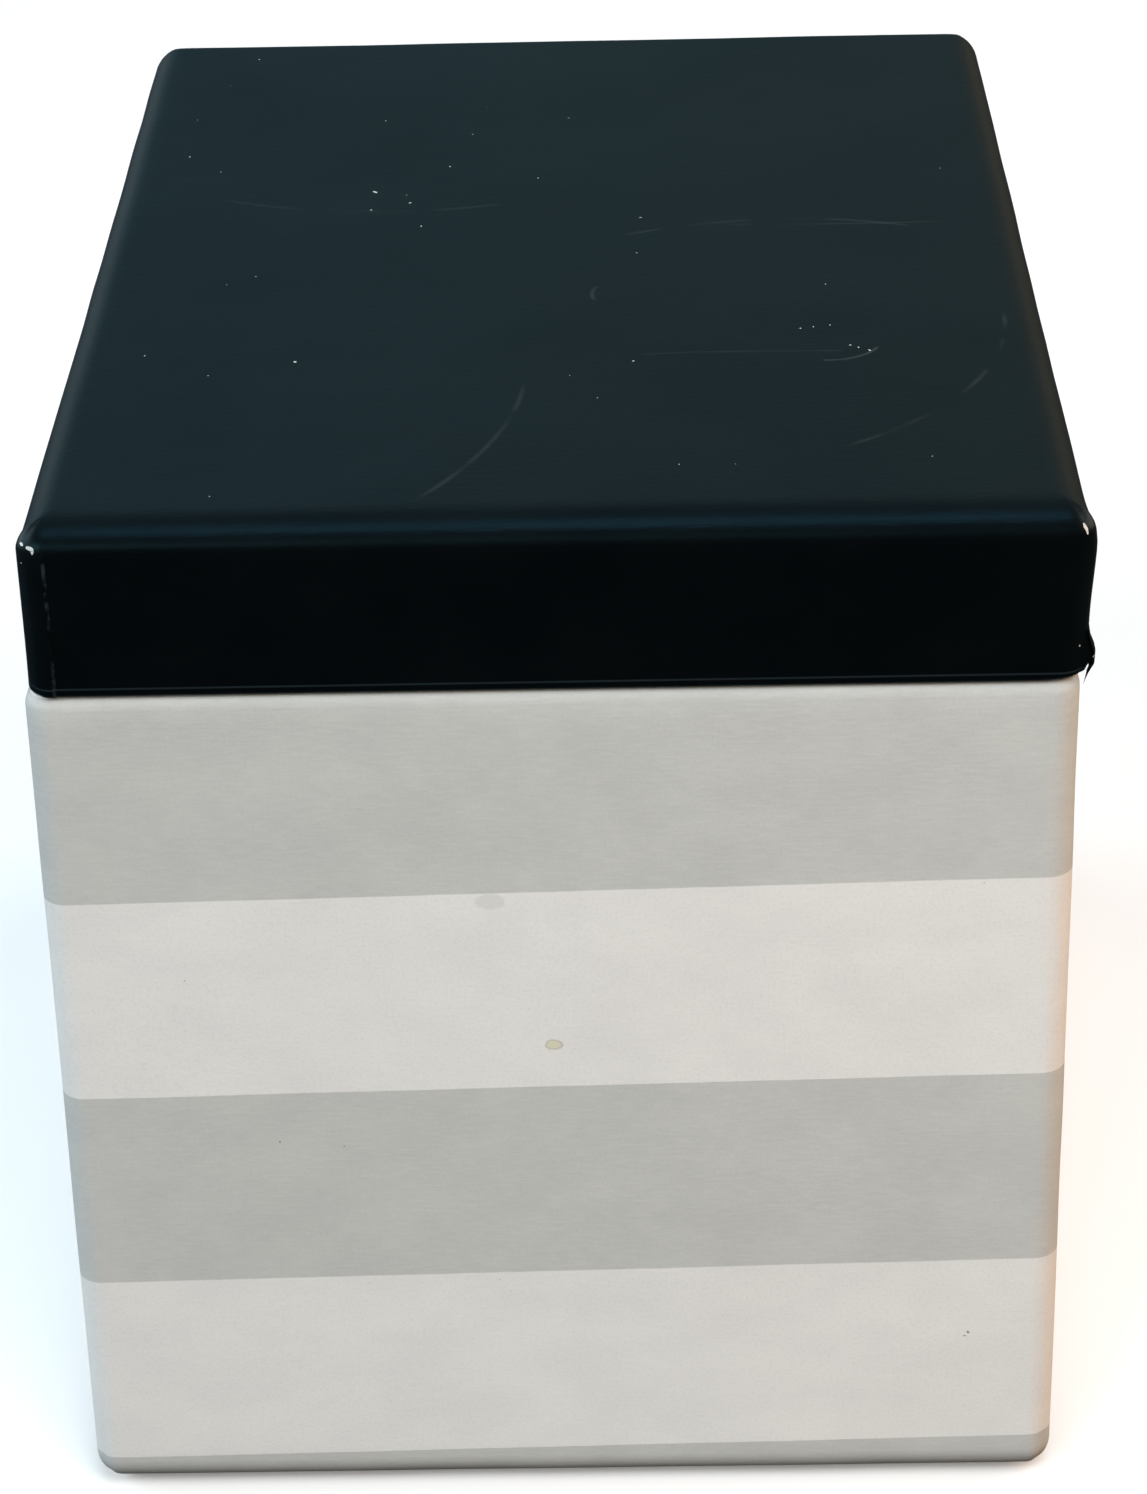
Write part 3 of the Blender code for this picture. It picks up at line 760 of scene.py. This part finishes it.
def shape_lid_paper(mesh):
    """The hand-wrapped look: laps at the corners, walls that lean or bow, a front fold pressed
    back, softened side folds, and one front corner built up."""
    half_x, half_y = half_plan
    shown = [point.value for point in mesh.attributes["shown"].data]
    edge_scuff_and_highlight = []
    for vertex, amount in zip(mesh.vertices, shown):
        x, y, z = vertex.co
        side, end = half_x - abs(x), half_y - abs(y)
        inset = min(side, end)
        low = smooth(z, lid_wall_top + 0.4 * MM, lid_wall_top - 1.6 * MM)
        outer = amount * smooth(inset, 0.9 * MM, 0.4 * MM)
        held = on_outside(inset) if z < lid_wall_top else 1.0
        # Past each corner, going anticlockwise, the last wall's paper lies on top for a lap.
        lapped = []
        if end < 0.5 * MM and side > 0:
            lapped.append((Vector((0, math.copysign(1, y), 0)), half_x - math.copysign(x, x * y)))
        if side < 0.5 * MM and end > 0:
            lapped.append((Vector((math.copysign(1, x), 0, 0)), half_y + math.copysign(y, x * y)))
        scuffed_and_highlit = 0.0
        for outwards, past in lapped:
            on_top = smooth(past, LAP + LAP_EDGE / 2, LAP - LAP_EDGE / 2)
            vertex.co += outwards * LAP_RISE * low * outer * on_top
            scuffed_and_highlit = max(scuffed_and_highlit, smooth(abs(past - LAP), LAP_EDGE, LAP_EDGE / 2) * low * outer)
            if x > 0 > y and outwards.x > 0:
                lifted = loose_lift(z) * (0.55 + 0.45 * past / LAP) * smooth(past, 0, 0.8 * MM)
                vertex.co += outwards * max(0.0, lifted - 0.1 * MM) * outer * on_top
        edge_scuff_and_highlight.append(LAP_EDGE_SCUFF_AND_HIGHLIGHT * scuffed_and_highlit)
        if y < 0:
            vertex.co += pressed_front(side, end, z)
        lean = smooth(z, lid_rim, lid_wall_top) - LEAN_LEVEL
        if x > 0:
            vertex.co.x += LEAN_OUT[0] * lean * smooth(side, LEAN_REACH, 0) * held
        vertex.co.y += math.copysign(LEAN_OUT[1] * lean * smooth(end, LEAN_REACH, 0), y) * held
        behind_front = smooth(y, -half_y, -half_y + 6 * MM)
        if x < 0:
            middle = math.cos(y / half_y * math.pi / 2) ** 2
            bow = middle * smooth(-x, half_x - CORNER_REACH, half_x)
            vertex.co.x += (LEFT_SET_IN + LEFT_BOW * bow) * held
            press = LEFT_PRESS * softened(side, z) * behind_front
            vertex.co += Vector((0.7 * press, 0, -0.7 * press))
        else:
            press = RIGHT_PRESS * softened(side, z) * behind_front
            vertex.co += Vector((-0.7 * press, 0, -0.7 * press))
            swell = smooth(-y, half_y - CORNER_REACH, half_y)
            swell *= smooth(x, half_x - CORNER_REACH, half_x)
            high = smooth(z, lid_rim + 6 * MM, lid_wall_top)
            vertex.co.x += BUILT_UP * swell * high * held
            kick = smooth(x, half_x - 5 * MM, half_x) * smooth(-y, half_y - 5 * MM, half_y)
            vertex.co.z += RIM_KICK * kick * smooth(z, lid_rim + 4 * MM, lid_rim)
        vertex.co.x += LID_SHIFT * held
    # Paleness of each lap's cut edge for the shader: scuffing and painted highlight.
    worn_and_highlit_edge = mesh.attributes.new("worn_and_highlit_edge", "FLOAT", "POINT")
    worn_and_highlit_edge.data.foreach_set("value", edge_scuff_and_highlight)


shape_lid_paper(lid_black_wrap.data)
cockle(lid_black_wrap.data, 0.08 * MM, 14 * MM, 7.1, (lid_rim,))
face_outwards(lid_black_wrap.data)
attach(lid_black_wrap, "lid")
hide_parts("lid_wrap")


# ------------------------------------------------------------
# Loose end of the lap at the lid's front right corner.
# The glue has let go there: the last few millimetres of paper curl off the wall, and a torn
# sliver hangs below the rim.

LOOSE_START = 0.30 * MM        # where the loose end leaves the wall, outside the paper
LOOSE_PAPER = 0.34 * MM        # the paper with the board's torn skin still on it


def curled_lap():
    """The loose paper as a thin sheet, lying on the lifted lap, with its sliver."""
    wall_x = half_plan[0] + LOOSE_START
    front_y = -half_plan[1]
    columns, rows = 12, 20
    bm = bmesh.new()
    grid = []
    for row in range(rows + 1):
        line = []
        for column in range(columns + 1):
            along = column / columns
            hang = SLIVER * smooth(along, 0.60, 0.25) * smooth(along, -0.05, 0.10)
            tall = LOOSE_HEIGHT - 0.5 * MM + hang
            z = lid_rim + LOOSE_HEIGHT - tall * row / rows
            y = front_y + 1.2 * MM + (LAP - 1.1 * MM) * along
            past = (y - front_y) / LAP
            x = wall_x + loose_lift(max(z, lid_rim + 0.25 * MM)) * (0.55 + 0.45 * past)
            inwards = 0.50 * MM - 0.35 * MM * along
            x -= inwards * smooth(z, lid_rim + 0.6 * MM, lid_rim - SLIVER)
            line.append(bm.verts.new((x, y, z)))
        grid.append(line)
    for upper, lower in zip(grid, grid[1:]):
        for at in range(columns):
            bm.faces.new((upper[at], upper[at + 1], lower[at + 1], lower[at]))
    bmesh.ops.solidify(bm, geom=bm.faces[:], thickness=LOOSE_PAPER)
    mesh = bpy.data.meshes.new("loose_lap")
    bm.to_mesh(mesh)
    bm.free()
    made = bpy.data.objects.new("loose_lap", mesh)
    bpy.context.scene.collection.objects.link(made)
    face_outwards(mesh)
    mesh.materials.append(lid_paper)
    return made


loose_lap = curled_lap()
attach(loose_lap, "lid")


# ------------------------------------------------------------
# Nicks and specks.
# Where the box has been knocked, the varnished face of the black paper has flaked and its white
# core shows. The striped paper has a few dark flecks of pulp in it.

def chips_tree():
    """Lays one small flat chip on each mark, against the surface, turned and stretched by
    chance."""
    tree, given = geometry_tree("chips_on_marks", (
        ("Marks", "NodeSocketGeometry"), ("Thickness", "NodeSocketFloat"),
        ("Seed", "NodeSocketInt"), ("Finish", "NodeSocketMaterial")), "Chips")
    chip = wire(tree, "GeometryNodeMeshIcoSphere", {"Radius": 0.5, "Subdivisions": 1})
    facing = wire(tree, "GeometryNodeInputNamedAttribute", {"Name": "facing"},
                  data_type="FLOAT_VECTOR")
    size = wire(tree, "GeometryNodeInputNamedAttribute", {"Name": "size"}, data_type="FLOAT")
    long_way = wire(tree, "FunctionNodeRandomValue", {2: 0.8, 3: 2.6, "Seed": given["Seed"]},
                    data_type="FLOAT").outputs[1]
    turn = wire(tree, "FunctionNodeRandomValue", {2: 0.0, 3: math.tau, "Seed": given["Seed"]},
                data_type="FLOAT").outputs[1]
    aimed = wire(tree, "FunctionNodeAlignRotationToVector", {"Vector": facing}, axis="Z")
    spin = wire(tree, "ShaderNodeCombineXYZ", {"Z": turn})
    turned = wire(tree, "FunctionNodeRotateRotation",
                  {"Rotation": aimed, "Rotate By": spin},
                  rotation_space="LOCAL")
    length = wire(tree, "ShaderNodeMath", {0: size, 1: long_way}, operation="MULTIPLY")
    measure = wire(tree, "ShaderNodeCombineXYZ",
                   {"X": length, "Y": size, "Z": given["Thickness"]})
    laid = wire(tree, "GeometryNodeInstanceOnPoints",
                {"Points": given["Marks"], "Instance": chip,
                 "Rotation": turned, "Scale": measure})
    real = wire(tree, "GeometryNodeRealizeInstances", {"Geometry": laid})
    done = wire(tree, "GeometryNodeSetMaterial",
                {"Geometry": real, "Material": given["Finish"]})
    out = tree.nodes.new("NodeGroupOutput")
    tree.links.new(done.outputs[0], out.inputs["Chips"])
    return tree


def chips_on(name, surface, marks, thickness, seed, finish):
    """Chips of given sizes, each on the nearest place of a surface to its mark."""
    polygons = [tuple(polygon.vertices) for polygon in surface.data.polygons]
    skin = BVHTree.FromPolygons([vertex.co for vertex in surface.data.vertices], polygons)
    mesh = bpy.data.meshes.new(name + "_marks")
    nearest = [skin.find_nearest(Vector(place) * MM) for place, size in marks]
    mesh.from_pydata([found[0] for found in nearest], [], [])
    facing = mesh.attributes.new("facing", "FLOAT_VECTOR", "POINT")
    facing.data.foreach_set("vector", [part for found in nearest for part in found[1]])
    sizes = mesh.attributes.new("size", "FLOAT", "POINT")
    sizes.data.foreach_set("value", [size * MM for place, size in marks])
    source = bpy.data.objects.new(name + "_marks", mesh)
    bpy.context.scene.collection.objects.link(source)
    settings = {"Thickness": thickness, "Seed": seed, "Finish": finish}
    made = evaluated_copy(name, source, chips_tree(), settings)
    bpy.data.objects.remove(source)
    return made


def raw_core(name, colour, deep):
    """Torn paper: matt, with short loose fibres that catch the light."""
    made, tree, shader, place = start_material(name, 0.9, 0.2)
    fluff = grain(tree, place, 0.15 * MM, (3, 1, 1), 3.0)
    tone = laid_over(tree, linear(colour), linear(deep), fluff, 0.3, 0.7)
    tree.links.new(tone, shader.inputs["Base Color"])
    relief(tree, shader, fluff, 0.04 * MM, 0.8)
    return made


half_x, half_y = (side / MM for side in half_plan)
top, rim = lid_high.z / MM, lid_rim / MM
SPECKS = 26                    # over the lid's top
CORNER_NICKS = 6
FLECKS = 40
chance = random.Random(12)
# Each mark: where it is in millimetres, and how wide its chip is.
lid_marks = [
    ((-54.0, -half_y, top - 1.9), 0.50), ((-53.6, -half_y, top - 2.3), 0.36),
    ((-half_x, -half_y, top - 0.9), 0.34), ((half_x, -half_y, top - 1.2), 0.50),
    ((half_x, -half_y, top - 1.9), 0.34), ((half_x, half_y, top - 1.1), 0.5),
    ((-52.6, -half_y, rim + 3.4), 0.35), ((-half_x, half_y, top - 1.3), 0.4),
    ((-22.7, 18.8, top), 0.38), ((-22.9, 12.6, top), 0.20), ((-18.2, 14.8, top), 0.24),
    ((-16.5, 6.9, top), 0.24), ((-29.1, -34.7, top), 0.36), ((9.0, -36.2, top), 0.20),
    ((28.1, -27.5, top), 0.22), ((29.6, -27.1, top), 0.16), ((31.5, -26.7, top), 0.20),
    ((33.5, -32.7, top), 0.22), ((35.6, -34.3, top), 0.24), ((34.4, -33.4, top), 0.18),
]
for _ in range(SPECKS):
    spot = (chance.uniform(-50, 50), chance.uniform(-72, 72), top)
    lid_marks.append((spot, chance.uniform(0.08, 0.17)))
for _ in range(CORNER_NICKS):
    corner_x, corner_y = chance.choice((-1, 1)) * half_x, chance.choice((-1, 1)) * half_y
    lid_marks.append(((corner_x, corner_y, chance.uniform(rim, top)), chance.uniform(0.1, 0.25)))
lid_nicks = chips_on("lid_nicks", lid_black_wrap, lid_marks, 0.07 * MM, 3,
                     raw_core("white_paper_core", "cfcec6", "9da3a3"))
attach(lid_nicks, "lid")

base_marks = [((-32.0, -half_y, 48.9), 0.22), ((45.6, -half_y, 21.4), 0.30),
              ((45.2, -half_y, 20.9), 0.16)]
for _ in range(FLECKS):
    around, height = chance.choice(("x", "y")), chance.uniform(6, 100)
    sign = chance.choice((-1, 1))
    if around == "x":
        spot = (chance.uniform(-half_x, half_x), sign * half_y, height)
    else:
        spot = (sign * half_x, chance.uniform(-half_y, half_y), height)
    base_marks.append((spot, chance.uniform(0.07, 0.13)))
base_flecks = chips_on("base_flecks", striped_wrap, base_marks, 0.04 * MM, 8,
                       raw_core("pulp_fleck", "6f6c62", "8e8b80"))
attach(base_flecks, "base")


# ------------------------------------------------------------
# Studio: a plain pale floor, a soft room that is dark overhead, and soft lights all round.

bpy.context.scene.view_settings.view_transform = "Standard"

FLOOR_RADIUS = 12.0
floor_mesh = bpy.data.meshes.new("floor")
bm = bmesh.new()
bmesh.ops.create_circle(bm, cap_ends=True, segments=96, radius=FLOOR_RADIUS)
bm.to_mesh(floor_mesh)
bm.free()
floor = bpy.data.objects.new("floor", floor_mesh)
bpy.context.scene.collection.objects.link(floor)
floor_finish, tree, shader, place = start_material("pale_floor", 1.0, 0.0)
shader.inputs["Base Color"].default_value = linear("e8e8e6")
shader.inputs["Emission Color"].default_value = linear("ffffff")
shader.inputs["Emission Strength"].default_value = 0.12
floor_mesh.materials.append(floor_finish)
floor.visible_glossy = False
floor.visible_diffuse = False

room = bpy.data.worlds.new("soft_room")
bpy.context.scene.world = room
room.use_nodes = True
tree = room.node_tree
backdrop = tree.nodes["Background"]
way = wire(tree, "ShaderNodeSeparateXYZ",
           {0: tree.nodes.new("ShaderNodeTexCoord").outputs["Generated"]})
left_to_right, height = way.outputs[0], way.outputs[2]
skyline = laid_over(tree, (0.85, 1.12, 1.18, 1), (0.50, 0.40, 0.24, 1), left_to_right, -0.45, 0.45)
walls = laid_over(tree, (0.15, 0.33, 0.43, 1), (0.235, 0.26, 0.24, 1), left_to_right, -0.45, 0.45)
ground = laid_over(tree, (0.035, 0.04, 0.05, 1), (0.05, 0.04, 0.03, 1), left_to_right, -0.45, 0.45)
sideways = wire(tree, "ShaderNodeMath", {0: left_to_right}, operation="ABSOLUTE")


def shaded(colour, direction, low, high, at_low, at_high):
    """The room's colour dimmed along a direction."""
    share = wire(tree, "ShaderNodeMapRange",
                 {"Value": direction, "From Min": low, "From Max": high,
                  "To Min": at_low, "To Max": at_high}, interpolation_type="SMOOTHSTEP")
    return wire(tree, "ShaderNodeMix", {0: 1.0, 6: colour, 7: share},
                data_type="RGBA", blend_type="MULTIPLY").outputs[2]


skyline = shaded(skyline, sideways, 0.10, 0.38, 0.12, 1.0)
upper = laid_over(tree, skyline, walls, height, 0.02, 0.26)
upper = shaded(upper, height, 0.20, 0.50, 0.52, 1.55)
upper = laid_over(tree, upper, (0.02, 0.03, 0.035, 1), height, 0.55, 0.70)
upper = shaded(upper, way.outputs[1], -0.3, 0.3, 0.35, 1.0)
around = laid_over(tree, ground, upper, height, -0.12, 0.02)
seen = tree.nodes.new("ShaderNodeLightPath").outputs["Is Camera Ray"]
around = wire(tree, "ShaderNodeMix", {0: seen, 6: around, 7: linear("f0f0ef")}, data_type="RGBA")
tree.links.new(around.outputs[2], backdrop.inputs["Color"])


def soft_sun(name, azimuth, elevation, spread, strength, colour):
    """A broad far light. Azimuth 0 is in front of the box, and 90 on its right."""
    lamp = bpy.data.lights.new(name, "SUN")
    lamp.angle = math.radians(spread)
    lamp.energy = strength
    lamp.color = linear(colour)[:3]
    made = bpy.data.objects.new(name, lamp)
    bpy.context.scene.collection.objects.link(made)
    a, e = math.radians(azimuth), math.radians(elevation)
    towards = Vector((math.sin(a) * math.cos(e), -math.cos(a) * math.cos(e), math.sin(e)))
    made.rotation_euler = towards.to_track_quat("Z", "Y").to_euler()


def near_panel(name, place, aim, size, power, colour):
    """A square softbox near the box, so that its light falls off across the front. The varnish
    doesn't mirror it."""
    lamp = bpy.data.lights.new(name, "AREA")
    lamp.size = size
    lamp.energy = power
    lamp.color = linear(colour)[:3]
    made = bpy.data.objects.new(name, lamp)
    made.visible_glossy = False
    bpy.context.scene.collection.objects.link(made)
    made.location = place
    made.rotation_euler = (Vector(place) - Vector(aim)).to_track_quat("Z", "Y").to_euler()


soft_sun("top_light", 180, 80, 20, 0.60, "b4e0ff")
soft_sun("front_light", -40, 34, 36, 1.62, "f6fbff")
near_panel("key_panel", (0.22, -0.48, 0.72), (0, -0.08, 0.07), 0.50, 5.4, "f8fcff")
near_panel("warm_panel", (0.42, -0.40, 0.18), (0, -0.08, 0.07), 0.25, 0.58, "ffbe6e")
soft_sun("left_light", -78, 30, 40, 0.7, "e8f2f8")
soft_sun("right_light", 88, 28, 40, 0.68, "ffa968")
soft_sun("back_left_light", -118, 22, 40, 1.3, "f4f8ff")
soft_sun("back_right_light", 118, 22, 40, 1.25, "ffeedb")


# ------------------------------------------------------------
# Camera: a long lens at a seated person's eye, a little to the right of the middle.

camera = bpy.data.objects.new("camera", bpy.data.cameras.new("camera"))
bpy.context.scene.collection.objects.link(camera)
camera.data.lens = 99.3
camera.data.sensor_width = 36.0
camera.data.clip_start = 0.01
pitch, yaw, roll = math.radians(28.26), math.radians(-1.08), math.radians(-1.45)
forward = Vector((math.sin(yaw) * math.cos(pitch), math.cos(yaw) * math.cos(pitch),
                  -math.sin(pitch)))
right = Vector((math.cos(yaw), -math.sin(yaw), 0))
up = right.cross(forward)
level_right = math.cos(roll) * right + math.sin(roll) * up
level_up = math.cos(roll) * up - math.sin(roll) * right
turned = Matrix((level_right, level_up, -forward)).transposed().to_4x4()
camera.matrix_world = Matrix.Translation((0.00926, -0.46385, 0.30569)) @ turned
bpy.context.scene.camera = camera
